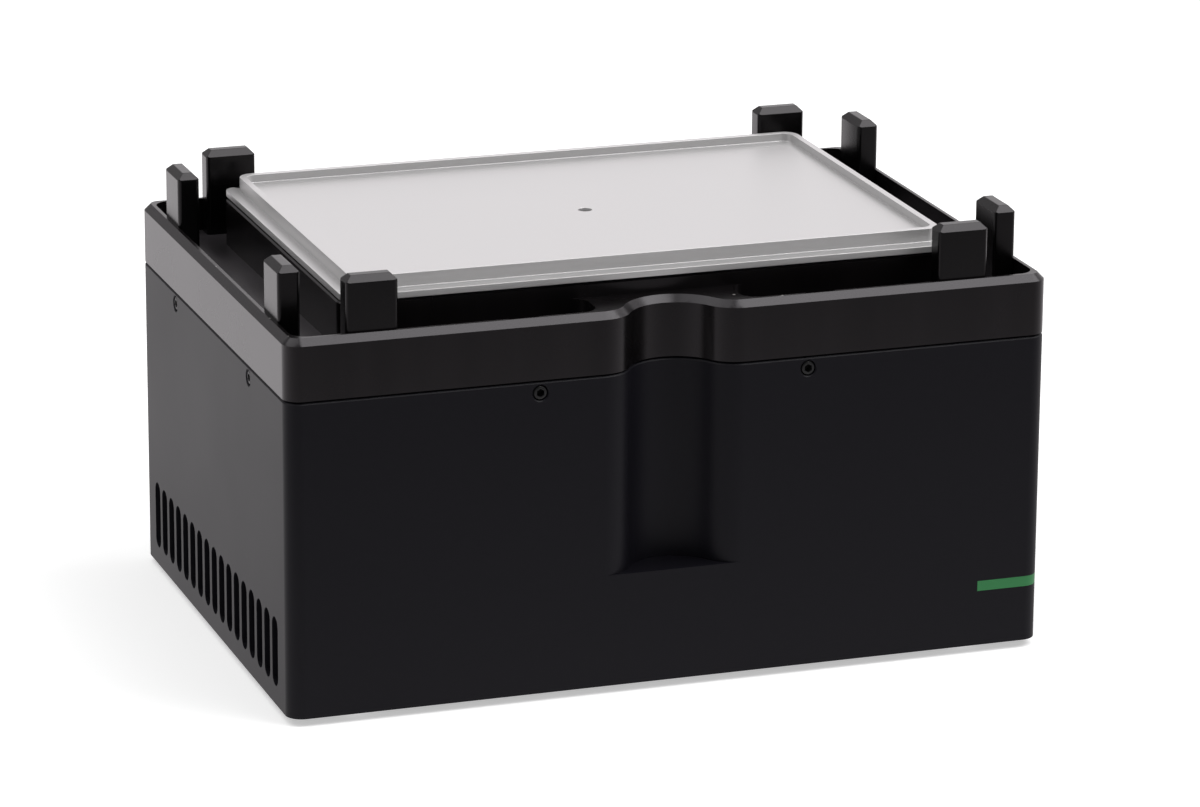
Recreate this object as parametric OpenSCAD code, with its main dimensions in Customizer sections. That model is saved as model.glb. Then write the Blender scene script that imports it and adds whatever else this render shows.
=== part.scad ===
// Bench-top microplate incubator: a heated and cooled plate in a boxed body,
// with eight corner pegs that hold a standard microplate over it.
// Millimetres, +Z up. The origin is on the table, under the middle of the body.
// +X runs along the long front side, the front faces -Y.

/* [Body] */
// Radius of the four upright corners
corner_r = 3; // [2.8:0.1:3.6]
// Height of the lower shell
shell_h = 56.8; // [56:0.2:60]
// Wall thickness of the lower shell
wall = 2.5; // [2:0.1:2.7]
// Height of the shell's bottom rim over the table
foot_gap = 1.4; // [1:0.1:2.4]
// Small bevel on machined edges
edge_break = 0.3; // [0.2:0.05:0.4]

/* [Upper frame] */
// Height of the machined frame above the seam
frame_h = 10.95; // [10:0.05:13]
// Bevel round the frame's outer top edge
rim_bevel = 1.2; // [0.8:0.1:1.4]
// Flat land between the bevel and the trough
rim_land = 0.65; // [0.4:0.05:0.9]
// Thickness of the frame under the trough
trough_floor_t = 4.9; // [4.6:0.1:5.6]
// Height of the middle island over the rim
island_rise = 2.55; // [2:0.05:3]
// Thickness of the gasket in the seam
seam_t = 0.3; // [0.2:0.05:0.5]

/* [Finger grip] */
// Depth of the upright grip groove in the long sides
grip_depth = 7.3; // [6:0.1:7.4]
// Radius of the groove's hollow middle
grip_r = 8.5; // [7.5:0.1:9]
// Radius of the groove's rounded shoulders
grip_shoulder_r = 6.4; // [5.8:0.1:6.8]
// Height of the shelf that ends the groove, over the shell's bottom rim
shelf_h = 20.4; // [19:0.2:23]

/* [Microplate nest] */
// Length of the standard microplate footprint
microplate_w = 127.76; // [127.5:0.02:128]
// Width of the standard microplate footprint
microplate_d = 85.48; // [85.2:0.02:85.7]
// Free play of the microplate along X
nest_play_x = 0.54; // [0.4:0.02:0.7]
// Free play of the microplate along Y
nest_play_y = 0.82; // [0.5:0.02:0.9]
// Thickness of a corner peg
peg_t = 4; // [3.8:0.1:4.1]
// Length of a corner peg
peg_len = 9.3; // [8:0.1:10]
// Top of the pegs above the plate's rim
peg_rise = 3.3; // [2.5:0.1:6]
// Bevel on the top edges of a peg
peg_bevel = 1.15; // [0.8:0.05:1.3]

/* [Thermal plate] */
// Distance from the plate's upper step to the pegs along X
plate_gap_x = 9.35; // [8.5:0.05:11]
// Distance from the plate's upper step to the pegs along Y
plate_gap_y = 7.15; // [6.5:0.05:9]
// Overhang of the lower step past the upper one
plate_step = 3.1; // [2.4:0.1:3.2]
// Height of the lower step
plate_low_h = 1.15; // [1:0.05:1.6]
// Height of the upper step with its raised rim
plate_up_h = 2.38; // [2.2:0.02:3]
// Depth of the flat inside the raised rim
plate_recess = 1.45; // [1:0.05:1.5]
// Width of the raised rim
plate_lip = 1.3; // [1:0.1:2]
// Radius of the threaded hole in the middle
adapter_hole_r = 1.25; // [1:0.05:1.6]
// Depth of the threaded hole from the plate's flat
adapter_hole_depth = 5.5; // [4.5:0.1:6]

/* [Vents] */
// Distance between slots
slot_pitch = 5; // [4.6:0.1:5]
// Width of a slot
slot_w = 3.6; // [2.4:0.1:3.7]
// Height of a slot
slot_h = 12.6; // [8:0.2:13]
// Middle of the slots over the shell's bottom rim
slot_mid = 9.75; // [9.2:0.05:10.2]

/* [Cooling] */
// Thickness of a fan
fan_t = 15; // [14:0.5:15]
// Blades on a fan rotor
fan_blades = 7; // [5:1:9]
// Running gap round the rotor's shaft
shaft_gap = 0.05; // [0.03:0.01:0.1]
// Gap between blade tips and the fan's duct
tip_gap = 0.8; // [0.6:0.1:1.2]
// Distance between heat-sink fins
fin_pitch = 4; // [3.4:0.2:5]
// Thickness of a fin
fin_t = 1.2; // [0.8:0.1:1.4]
// Thickness of a thermoelectric module
module_t = 3.6; // [3.2:0.1:3.8]

/* [Fits] */
// Gap round a part that drops into a pocket or a window
drop_fit = 0.1; // [0.05:0.01:0.15]
// Gap round a screw thread in its tapped hole
thread_fit = 0.02; // [0.01:0.01:0.04]
// Gap round a screw in its clearance hole
screw_fit = 0.15; // [0.1:0.05:0.2]

/* [Hidden] */
$fn = 96;

// The pegs hold the microplate, and rim and bevel follow outside them.
nest_hx = (microplate_w + nest_play_x) / 2;
nest_hy = (microplate_d + nest_play_y) / 2;
trough_hx = nest_hx + peg_t;
trough_hy = nest_hy + peg_t;
hx = trough_hx + rim_land + rim_bevel;
hy = trough_hy + rim_land + rim_bevel;

// Heights, from the table up.
shell_z = foot_gap;
shelf_z = shell_z + shelf_h;
shell_top = shell_z + shell_h;
frame_z = shell_top + seam_t;
rim_z = frame_z + frame_h;
trough_z = frame_z + trough_floor_t;
island_z = rim_z + island_rise;
gasket_t = 0.4;
plate_z = island_z + gasket_t;
plate_ledge_z = plate_z + plate_low_h;
plate_top = plate_ledge_z + plate_up_h;
plate_flat_z = plate_top - plate_recess;
peg_top = plate_top + peg_rise;

// Finger grip: two shoulder circles and a hollow circle that touch each other.
grip_y = -hy + grip_depth - grip_r;
shoulder_y = -hy + grip_shoulder_r;
shoulder_x = sqrt(pow(grip_r + grip_shoulder_r, 2) - pow(shoulder_y - grip_y, 2));

// Plate, island below it, and the block that hangs in the island's window.
plate_hx = nest_hx - plate_gap_x;
plate_hy = nest_hy - plate_gap_y;
plate_r = 4;
plate_overhang = 0.65;
island_hx = plate_hx + plate_step - plate_overhang;
island_hy = plate_hy + plate_step - plate_overhang;
island_r = 3;
block_h = 6;
block_hx = plate_hx - 8.8;
block_hy = plate_hy - 8;
block_z = plate_z - block_h;
block_r = 3;
collar_t = 4.1;
window_hx = block_hx + collar_t;
window_hy = block_hy + collar_t;
window_r = 4;
gasket_inset = 0.9;
cap_foot = 0.25;
gasket_margin = 0.6;

// Upper frame.
trough_r = 3;
land_hx = shoulder_x + 0.5;
notch_x = 27.2;
notch_w = 5.4;
notch_d = 0.35;
notch_h = 1;
lug_w = 10;
lug_t = 4;
lug_h = 5;
frame_screw_pos = 24.65;
frame_screw_z = shell_top - 2;

// Corner pegs stand face to face with the rim.
peg_x = nest_hx + peg_t / 2;
peg_y = nest_hy + peg_t / 2;
peg_wide_x = trough_hx - 13.95;
peg_narrow_y = trough_hy - 14.15;
peg_seat_d = 1;
peg_z = trough_z - peg_seat_d;
peg_edge_r = 0.7;
peg_screw_r = 1;
peg_screw_head_r = 1.9;
peg_screw_head_h = 1.6;
peg_bore_h = 2.2;
peg_thread_h = 5;

// Screws: thread radius, head radius, head height and width of the hex socket.
m3_r = 1.5;
m3_head_r = 2.75;
m3_head_h = 2;
m3_hex = 2.5;
m25_r = 1.25;
m25_head_r = 2.2;
m25_head_h = 1.4;
m25_hex = 1.5;
grub_hex = 1.3;
grub_hex_depth = 1.6;
grub_bevel = 0.3;
grub_len = 6;
grub_sink = 0.35;
hole_bevel = 0.2;

// Modules between the block and the heat sink: the largest squares that fit.
pad_t = 0.2;
module_gap = 6;
clamp_strip = 8;
module_size = min(block_hx - module_gap, 2 * (block_hy - clamp_strip));
module_x = block_hx / 2;
module_z = block_z - pad_t - module_t;
pedestal_z = module_z - pad_t;
clamp_x = module_x;
clamp_y = block_hy - clamp_strip / 2;
block_screw_x = block_hx - 6;
block_screw_y = clamp_y;
sensor_r = 1.5;
sensor_len = 14;

// Control board on pillars over the base.
base_t = 2;
base_z = shell_z + 0.4;
base_top = base_z + base_t;
boss_x = hx - 13;
boss_y = hy - wall - 3;
boss_r = 3.5;
boss_h = 8;
foot_x = hx - 18;
foot_y = hy - 15;
foot_r = 6;
board_z = base_top + 4;
board_t = 1.6;
board_top = board_z + board_t;
board_hx = boss_x - 1;
board_hy = boss_y - 12.5;
standoff_x = board_hx - 4;
standoff_y = board_hy - 4;
standoff_r = 2.75;
component_h = 2.8;

// Heat sink between the side walls and the grips, with fins down to the baffle,
// and the largest pair of fans that fits under it.
sink_hx = hx - wall - 5.5;
sink_hy = hy - grip_depth - wall - 1.2;
sink_base_t = 5;
sink_z = frame_z - sink_base_t;
fan_size = min(sink_hx - 2, 2 * (sink_hy - 8));
fan_x = fan_size / 2 + 1;
fan_z = board_top + component_h + 2.1;
fan_hole = fan_size / 2 - 5;
baffle_t = 1.2;
baffle_z = fan_z + fan_t;
fin_z = baffle_z + baffle_t;
duct_r = fan_size / 2 - 2;
hub_r = 11;
hub_wall = 1.2;
stator_r = 9.2;
spoke_t = 2;
spoke_w = 3;
blade_t = 1.2;
blade_tilt = 52;
shaft_r = 1;
rotor_z = fan_z + spoke_t + 0.8;
rotor_h = fan_t - spoke_t - 1.8;
end_fin_t = 4.5;
fin_count = floor((sink_hx - end_fin_t - 1) / fin_pitch);
sink_screw_x = sink_hx - 7.5;
sink_screw_y = sink_hy - 4;
sink_thread_h = 6;
baffle_screw_x = sink_hx - end_fin_t / 2;
baffle_screw_y = sink_hy - 3.6;

// Rear connectors in their bays.
bay_z = shell_z + 3.6;
bay_h = 15;
bay_depth = 3;
bay_wall = 2.5;
connector_z = bay_z + bay_h / 2;
bay_y = hy - bay_depth;
bay_back_y = bay_y - bay_wall;
port_body_w = 18.6;
port_body_h = 9.8;
port_shell_w = 16.8;
port_shell_h = 8.2;
port_pin_pitch = 2.77;
port_flange_t = 1;
jack_af = 4.8;
jack_nut_t = 2;
jack_x = port_body_w / 2 + 3.2;
port_w = 2 * jack_x + 5.8;
port_h = port_body_h + 2.7;
port_bay_w = port_w + 5.2;
connector_inset = 36;
bay_margin = 4;
port_x = connector_inset - hx;
socket_r = 5.4;
socket_flange_r = 7;
socket_flange_t = 1.6;
socket_bore_r = 3.15;
socket_pin_r = 1.05;
socket_nut_af = 14;
socket_nut_t = 2;
socket_bay_w = 2 * (socket_flange_r + bay_margin);
socket_len = bay_wall + 8;
socket_x = hx - connector_inset;

// Vent slots: as many as fit between the corners of a short side.
corner_land = 8;
side_slots = floor((hy - corner_land) / slot_pitch);
rear_slots = 7;
rear_slot_x = shoulder_x + 5.7;
rear_slot_h = sink_z - fin_z - 6;
rear_slot_mid = (sink_z + fin_z) / 2;

// Colour stripe let into the front right corner.
stripe_len = 12.2;
stripe_h = 1.9;
stripe_mid = shell_z + 11.15;
stripe_t = 0.3;

// Rectangle with rounded corners, given by its half sizes.
module round_rect(half_x, half_y, r) {
    square([2 * half_x, 2 * (half_y - r)], center = true);
    square([2 * (half_x - r), 2 * half_y], center = true);
    for (sx = [-1, 1], sy = [-1, 1])
        translate([sx * (half_x - r), sy * (half_y - r)]) circle(r);
}

// Plan of the front grip groove, grown by inset.
module grip_plan(inset) {
    difference() {
        polygon([
            [-shoulder_x, -hy - 1], [-shoulder_x, shoulder_y], [0, grip_y],
            [shoulder_x, shoulder_y], [shoulder_x, -hy - 1]
        ]);
        for (s = [-1, 1]) translate([s * shoulder_x, shoulder_y]) circle(grip_shoulder_r - inset);
    }
    translate([0, grip_y]) circle(grip_r + inset);
}

// Plan of the body with both grip grooves, drawn in by inset.
module body_plan(inset) {
    difference() {
        round_rect(hx - inset, hy - inset, max(corner_r - inset, 0.6));
        grip_plan(inset);
        mirror([0, 1]) grip_plan(inset);
    }
}

// Bevelled top of a rounded block: every side leans in at 45 degrees over height c.
// Its foot reaches a little into the block below, so the two are one solid.
module bevel_cap(half_x, half_y, r, c) {
    rotate([90, 0, 0]) linear_extrude(2 * (half_y - r), center = true) cap_profile(half_x, c);
    rotate([90, 0, 90]) linear_extrude(2 * (half_x - r), center = true) cap_profile(half_y, c);
    for (sx = [-1, 1], sy = [-1, 1]) translate([sx * (half_x - r), sy * (half_y - r), 0])
        rotate_extrude() intersection() {
            cap_profile(r, c);
            translate([0, -cap_foot]) square([r, c + cap_foot]);
        }
}

// Profile across a bevelled cap of half width w.
module cap_profile(w, c) {
    f = cap_foot;
    polygon([[-w, 0], [f - w, -f], [w - f, -f], [w, 0], [w - c, c], [c - w, c]]);
}

// Grip groove that widens at 45 degrees, to cut a bevel of height c.
module grip_flare(c) {
    e = 0.1;
    difference() {
        translate([0, 0, -e]) linear_extrude(c + 2 * e) polygon([
            [-shoulder_x, -hy - 1], [-shoulder_x, shoulder_y], [0, grip_y],
            [shoulder_x, shoulder_y], [shoulder_x, -hy - 1]
        ]);
        for (s = [-1, 1]) translate([s * shoulder_x, shoulder_y, -2 * e])
            cylinder(h = c + 4 * e, r1 = grip_shoulder_r + 2 * e, r2 = grip_shoulder_r - c - 2 * e);
    }
    translate([0, grip_y, -e]) cylinder(h = c + 2 * e, r1 = grip_r - e, r2 = grip_r + c + e);
}

// Body raised to height h with a bevel c round its top edge and both grip grooves.
module bevelled_body(h, c) {
    difference() {
        bevelled_block(hx, hy, corner_r, h, c);
        for (m = [0, 1]) mirror([0, m, 0]) {
            translate([0, 0, -1]) linear_extrude(h + 2) grip_plan(0);
            translate([0, 0, h - c]) grip_flare(c);
        }
    }
}

// Flat rounded block with a bevel c round its top edge.
module bevelled_block(half_x, half_y, r, h, c) {
    linear_extrude(h - c) round_rect(half_x, half_y, r);
    translate([0, 0, h - c]) bevel_cap(half_x, half_y, r, c);
}

// Upright slot with round ends, through a wall that faces +X.
module slot_x(w, h, t) {
    rotate([90, 0, 90]) linear_extrude(t, center = true) {
        square([w, h - w], center = true);
        for (s = [-1, 1]) translate([0, s * (h - w) / 2]) circle(w / 2);
    }
}

// Cap screw standing head down at z = 0, with its thread pointing up.
module cap_screw(r, head_r, head_h, len, socket) {
    difference() {
        translate([0, 0, -head_h]) cylinder(h = head_h, r = head_r);
        translate([0, 0, -head_h - 1]) hex_rod(socket, head_h * 0.6 + 1);
    }
    cylinder(h = len, r = r);
}

// Six-sided rod, given across its flats.
module hex_rod(af, h) {
    k = af / sqrt(3);
    linear_extrude(h) polygon([for (i = [0:5]) [k * cos(60 * i), k * sin(60 * i)]]);
}

// Copies of the children at the four mirrored points of [x, y].
module at_corners(x, y) {
    for (sx = [-1, 1], sy = [-1, 1]) translate([sx * x, sy * y, 0]) children();
}

// The four frame screws of the front and left sides and their mirrored twins.
// Each points inward from the face of the shell.
module at_frame_screws() {
    for (s = [-1, 1]) {
        translate([s * frame_screw_pos, -hy, frame_screw_z]) rotate([-90, 0, 0]) children();
        translate([s * frame_screw_pos, hy, frame_screw_z]) rotate([90, 0, 0]) children();
        translate([-hx, s * frame_screw_pos, frame_screw_z]) rotate([0, 90, 0]) children();
        translate([hx, s * frame_screw_pos, frame_screw_z]) rotate([0, -90, 0]) children();
    }
}

// Plan of the colour stripe let into the shell.
module stripe_plan() {
    intersection() {
        difference() {
            round_rect(hx, hy, corner_r);
            round_rect(hx - stripe_t, hy - stripe_t, corner_r - stripe_t);
        }
        translate([hx - stripe_len, -hy - 1]) square(stripe_len + 1);
    }
}

// Lower shell: a box open at the top and bottom, with grips, vents and connector bays.
module housing_shell() {
    color([0.13, 0.13, 0.15]) difference() {
        union() {
            difference() {
                union() {
                    translate([0, 0, shell_z]) linear_extrude(shelf_h) round_rect(hx, hy, corner_r);
                    translate([0, 0, shelf_z]) bevelled_body(shell_h - shelf_h, edge_break);
                }
                translate([0, 0, shell_z - 1]) linear_extrude(shelf_h - wall + 1)
                    round_rect(hx - wall, hy - wall, 0.8);
                translate([0, 0, shelf_z - wall]) linear_extrude(shell_h) body_plan(wall);
            }
            at_corners(boss_x, boss_y) translate([0, 0, base_top]) cylinder(h = boss_h, r = boss_r);
            for (sx = [-1, 1], sy = [-1, 1])
                translate([sx * boss_x - 2, sy > 0 ? boss_y : -hy + 1, base_top])
                    cube([4, hy - boss_y - 1, boss_h]);
            translate([port_x - port_bay_w / 2 - bay_wall, bay_back_y, bay_z - 1])
                cube([port_bay_w + 2 * bay_wall, hy - 1 - bay_back_y, bay_h + bay_wall + 1]);
            translate([socket_x - socket_bay_w / 2 - bay_wall, bay_back_y, bay_z - 1])
                cube([socket_bay_w + 2 * bay_wall, hy - 1 - bay_back_y, bay_h + bay_wall + 1]);
        }
        // Vent slots in both short sides.
        for (s = [-1, 1], i = [-side_slots:side_slots])
            translate([s * hx, i * slot_pitch, shell_z + slot_mid])
                slot_x(slot_w, slot_h, 4 * wall);
        // Vent slots in the rear, beside the grip.
        for (s = [-1, 1], i = [0:rear_slots - 1])
            translate([s * (rear_slot_x + i * slot_pitch), hy, rear_slot_mid]) rotate([0, 0, 90])
                slot_x(slot_w, rear_slot_h, 4 * wall);
        // Connector bays and the holes in their floors.
        translate([port_x - port_bay_w / 2, bay_y, bay_z]) cube([port_bay_w, hy, bay_h]);
        translate([socket_x - socket_bay_w / 2, bay_y, bay_z]) cube([socket_bay_w, hy, bay_h]);
        translate([socket_x, hy, connector_z]) rotate([90, 0, 0])
            cylinder(h = 10, r = socket_r + drop_fit);
        translate([port_x - port_body_w / 2 - screw_fit, bay_back_y - 1,
                connector_z - port_body_h / 2 - drop_fit])
            cube([port_body_w + 2 * screw_fit, bay_wall + 2, port_body_h + 2 * drop_fit]);
        for (s = [-1, 1]) translate([port_x + s * jack_x, hy, connector_z]) rotate([90, 0, 0])
            cylinder(h = 10, r = m25_r + screw_fit);
        at_frame_screws() {
            translate([0, 0, -1]) cylinder(h = wall + 2, r = m25_r + screw_fit);
            cylinder(h = hole_bevel, r1 = m25_r + screw_fit + hole_bevel, r2 = m25_r + screw_fit);
        }
        at_corners(boss_x, boss_y) translate([0, 0, base_top - 1])
            cylinder(h = boss_h, r = m3_r + thread_fit);
        translate([0, 0, stripe_mid - stripe_h / 2]) linear_extrude(stripe_h) stripe_plan();
    }
}

// Land that joins the rim to the island behind the front grip.
module grip_land_plan() {
    difference() {
        translate([-land_hx - 3, -hy]) square([2 * land_hx + 6, hy - island_hy + 1]);
        for (s = [-1, 1]) translate([s * (land_hx + 10), -(trough_hy + island_hy) / 2])
            round_rect(10, (trough_hy - island_hy) / 2, 3);
    }
}

// Plan of the drip trough between rim and island.
module trough_plan() {
    difference() {
        round_rect(trough_hx, trough_hy, trough_r);
        round_rect(island_hx, island_hy, island_r);
        grip_land_plan();
        mirror([0, 1]) grip_land_plan();
    }
}

// Upper frame: bevelled rim, drip trough, island with a window, and screw lugs below.
module top_frame() {
    color([0.12, 0.11, 0.11]) difference() {
        union() {
            translate([0, 0, frame_z]) difference() {
                bevelled_body(frame_h, rim_bevel);
                translate([0, 0, trough_floor_t]) linear_extrude(frame_h) trough_plan();
            }
            translate([0, 0, frame_z])
                bevelled_block(island_hx, island_hy, island_r, island_z - frame_z, edge_break);
            for (sx = [-1, 1], sy = [-1, 1]) {
                translate([sx * frame_screw_pos - lug_w / 2,
                        sy * (hy - wall - drop_fit - lug_t / 2) - lug_t / 2, frame_z - lug_h])
                    cube([lug_w, lug_t, lug_h + 1]);
                translate([sx * (hx - wall - drop_fit - lug_t / 2) - lug_t / 2,
                        sy * frame_screw_pos - lug_w / 2, frame_z - lug_h])
                    cube([lug_t, lug_w, lug_h + 1]);
            }
        }
        translate([0, 0, frame_z - 1]) linear_extrude(30) round_rect(window_hx, window_hy, window_r);
        // Pockets, clearance holes and head recesses of the corner pegs.
        at_corners(peg_wide_x, peg_y) peg_seat(peg_len, peg_t);
        at_corners(peg_x, peg_narrow_y) peg_seat(peg_t, peg_len);
        at_frame_screws() cylinder(h = grub_sink + grub_len, r = m25_r + thread_fit);
        at_corners(sink_screw_x, sink_screw_y) translate([0, 0, frame_z - 1])
            cylinder(h = sink_thread_h + 1.5, r = m3_r + thread_fit);
        // Small notches in the inner edge of the rim.
        for (sx = [-1, 1], sy = [-1, 1])
            translate([sx * notch_x - notch_w / 2, sy > 0 ? trough_hy - 1 : -trough_hy - notch_d,
                    rim_z - notch_h])
                cube([notch_w, notch_d + 1, notch_h + 1]);
    }
}

// Space that one peg and its screw need in the frame.
module peg_seat(len_x, len_y) {
    translate([0, 0, peg_z]) linear_extrude(30)
        round_rect(len_x / 2, len_y / 2, peg_edge_r);
    translate([0, 0, frame_z - 1]) cylinder(h = 20, r = peg_screw_r + screw_fit);
    translate([0, 0, frame_z - 1]) cylinder(h = peg_bore_h + 1, r = peg_screw_head_r + drop_fit);
}

// Corner peg with rounded upright edges, bevelled top and a tapped hole below.
module corner_peg(len_x, len_y) {
    h = peg_top - peg_z;
    c = peg_bevel;
    px = len_x / 2;
    py = len_y / 2;
    translate([0, 0, peg_z]) difference() {
        intersection() {
            linear_extrude(h) round_rect(px, py, peg_edge_r);
            rotate([90, 0, 0]) linear_extrude(20, center = true)
                polygon([[-px, 0], [px, 0], [px, h - c], [px - c, h], [c - px, h], [-px, h - c]]);
            rotate([90, 0, 90]) linear_extrude(20, center = true)
                polygon([[-py, 0], [py, 0], [py, h - c], [py - c, h], [c - py, h], [-py, h - c]]);
        }
        translate([0, 0, -1]) cylinder(h = peg_thread_h + 1, r = peg_screw_r + thread_fit);
    }
}

// The four pegs along the long sides.
module corner_pegs_wide() {
    color([0.1, 0.1, 0.1]) at_corners(peg_wide_x, peg_y) corner_peg(peg_len, peg_t);
}

// The four pegs along the short sides.
module corner_pegs_narrow() {
    color([0.1, 0.1, 0.1]) at_corners(peg_x, peg_narrow_y) corner_peg(peg_t, peg_len);
}

// Screws that hold the pegs from below, with their heads sunk in the frame.
module peg_screws() {
    z = frame_z + peg_bore_h;
    color("silver") {
        at_corners(peg_wide_x, peg_y) translate([0, 0, z])
            cap_screw(peg_screw_r, peg_screw_head_r, peg_screw_head_h, 6, 1.2);
        at_corners(peg_x, peg_narrow_y) translate([0, 0, z])
            cap_screw(peg_screw_r, peg_screw_head_r, peg_screw_head_h, 6, 1.2);
    }
}

// Headless hex screws that hold the shell to the frame's lugs.
module frame_screws() {
    color([0.1, 0.1, 0.1]) at_frame_screws() translate([0, 0, grub_sink]) difference() {
        union() {
            cylinder(h = grub_bevel, r1 = m25_r - grub_bevel, r2 = m25_r);
            translate([0, 0, grub_bevel]) cylinder(h = grub_len - grub_bevel, r = m25_r);
        }
        translate([0, 0, -1]) hex_rod(grub_hex, grub_hex_depth + 1);
    }
}

// Thin gasket in the seam between shell and frame.
module seam_gasket() {
    color([0.03, 0.03, 0.03]) translate([0, 0, shell_top]) linear_extrude(seam_t) difference() {
        body_plan(0.7);
        body_plan(wall);
    }
}

// Flat seal between the island and the thermal plate.
module plate_gasket() {
    color([0.05, 0.05, 0.05]) translate([0, 0, island_z]) linear_extrude(gasket_t) difference() {
        round_rect(island_hx - gasket_inset, island_hy - gasket_inset, island_r - 0.5);
        round_rect(window_hx + gasket_margin, window_hy + gasket_margin, window_r);
    }
}

// Stepped aluminium plate that carries the microplate, with a raised rim.
module thermal_plate() {
    color([0.82, 0.82, 0.82]) translate([0, 0, plate_z]) difference() {
        union() {
            bevelled_block(plate_hx + plate_step, plate_hy + plate_step, plate_r + 0.5,
                plate_low_h, edge_break / 2);
            bevelled_block(plate_hx, plate_hy, plate_r, plate_low_h + plate_up_h, edge_break);
        }
        translate([0, 0, plate_flat_z - plate_z]) linear_extrude(5)
            round_rect(plate_hx - plate_lip, plate_hy - plate_lip, plate_r - plate_lip - 0.3);
        translate([0, 0, -1]) cylinder(h = 10, r = adapter_hole_r);
        at_corners(block_screw_x, block_screw_y) translate([0, 0, -1])
            cylinder(h = 2.5, r = m25_r + thread_fit);
    }
}

// Aluminium block that spreads the heat under the plate.
module cold_block() {
    color([0.7, 0.7, 0.72]) difference() {
        translate([0, 0, block_z]) linear_extrude(block_h) round_rect(block_hx, block_hy, block_r);
        translate([0, 0, plate_flat_z - adapter_hole_depth]) cylinder(h = 10, r = adapter_hole_r);
        at_corners(block_screw_x, block_screw_y) {
            translate([0, 0, block_z - 1]) cylinder(h = 20, r = m25_r + screw_fit);
            translate([0, 0, block_z - 1])
                cylinder(h = m25_head_h + 1.1, r = m25_head_r + drop_fit);
        }
        at_corners(clamp_x, clamp_y) translate([0, 0, block_z - 1])
            cylinder(h = 5, r = m3_r + thread_fit);
        translate([0, -block_hy - 1, block_z + block_h / 2]) rotate([-90, 0, 0])
            cylinder(h = sensor_len + 1.2, r = sensor_r + drop_fit / 2);
    }
}

// Screws that hold the block to the plate from below.
module block_screws() {
    color("silver") at_corners(block_screw_x, block_screw_y)
        translate([0, 0, block_z + m25_head_h + 0.1])
            cap_screw(m25_r, m25_head_r, m25_head_h, plate_z - block_z - m25_head_h + 1.3, m25_hex);
}

// Long screws that clamp the modules between heat sink and block.
module clamp_screws() {
    color("silver") at_corners(clamp_x, clamp_y) translate([0, 0, sink_z])
        cap_screw(m3_r, m3_head_r, m3_head_h, block_z + 3.9 - sink_z, m3_hex);
}

// Foam collar between the block and the window of the frame.
module insulation_collar() {
    color([0.2, 0.2, 0.22]) translate([0, 0, frame_z])
        linear_extrude(plate_z - frame_z - drop_fit) difference() {
            round_rect(window_hx - drop_fit, window_hy - drop_fit, window_r - drop_fit);
            round_rect(block_hx + drop_fit, block_hy + drop_fit, block_r);
        }
}

// Foam sheet round the modules.
module module_foam() {
    color([0.25, 0.25, 0.27]) translate([0, 0, pedestal_z])
        linear_extrude(block_z - pedestal_z - drop_fit) difference() {
            round_rect(block_hx - drop_fit, block_hy - drop_fit, block_r);
            for (s = [-1, 1]) translate([s * module_x, 0])
                square(module_size + 2 * drop_fit, center = true);
            for (sx = [-1, 1], sy = [-1, 1]) {
                translate([sx * clamp_x, sy * clamp_y]) circle(m3_r + screw_fit);
                translate([sx * block_screw_x, sy * block_screw_y]) circle(m25_head_r);
            }
        }
}

// Two thermoelectric modules: ceramic faces over a field of pellets.
module peltier_modules() {
    face_t = 0.8;
    color("white") for (s = [-1, 1]) translate([s * module_x, 0, module_z]) {
        linear_extrude(face_t) square(module_size, center = true);
        translate([0, 0, face_t]) linear_extrude(module_t - 2 * face_t)
            square(module_size - 2, center = true);
        translate([0, 0, module_t - face_t]) linear_extrude(face_t)
            square(module_size, center = true);
    }
}

// Thermal pads above and below each module.
module thermal_pads() {
    color([0.75, 0.8, 0.85]) for (s = [-1, 1], z = [pedestal_z, module_z + module_t])
        translate([s * module_x, 0, z]) linear_extrude(pad_t) square(module_size, center = true);
}

// Probe in the front bore of the block.
module temperature_sensor() {
    color("silver") translate([0, -block_hy + 0.2, block_z + block_h / 2]) rotate([-90, 0, 0])
        cylinder(h = sensor_len, r = sensor_r);
}

// Extruded heat sink with a pedestal on top and fins below.
module heat_sink() {
    color([0.6, 0.62, 0.64]) difference() {
        union() {
            translate([-sink_hx, -sink_hy, sink_z]) cube([2 * sink_hx, 2 * sink_hy, sink_base_t]);
            translate([0, 0, frame_z - 0.5]) linear_extrude(pedestal_z - frame_z + 0.5)
                round_rect(block_hx, block_hy, block_r);
            for (i = [-fin_count:fin_count])
                translate([i * fin_pitch - fin_t / 2, -sink_hy, fin_z])
                    cube([fin_t, 2 * sink_hy, sink_z - fin_z + 0.5]);
            for (s = [-1, 1])
                translate([s * (sink_hx - end_fin_t / 2) - end_fin_t / 2, -sink_hy, fin_z])
                    cube([end_fin_t, 2 * sink_hy, sink_z - fin_z + 0.5]);
        }
        at_corners(clamp_x, clamp_y) {
            translate([0, 0, sink_z - 1]) cylinder(h = 30, r = m3_r + screw_fit);
            translate([0, 0, fin_z - 1]) cylinder(h = sink_z - fin_z + 1, r = m3_head_r + 0.4);
        }
        at_corners(sink_screw_x, sink_screw_y) {
            translate([0, 0, sink_z - 1]) cylinder(h = 30, r = m3_r + screw_fit);
            translate([0, 0, fin_z - 1]) cylinder(h = sink_z - fin_z + 1, r = m3_head_r + 0.15);
        }
        at_corners(baffle_screw_x, baffle_screw_y) translate([0, 0, fin_z - 1])
            cylinder(h = 8, r = m25_r + thread_fit);
    }
}

// Screws that hold the heat sink to the frame.
module sink_screws() {
    color("silver") at_corners(sink_screw_x, sink_screw_y) translate([0, 0, sink_z])
        cap_screw(m3_r, m3_head_r, m3_head_h, sink_base_t + sink_thread_h, m3_hex);
}

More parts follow.
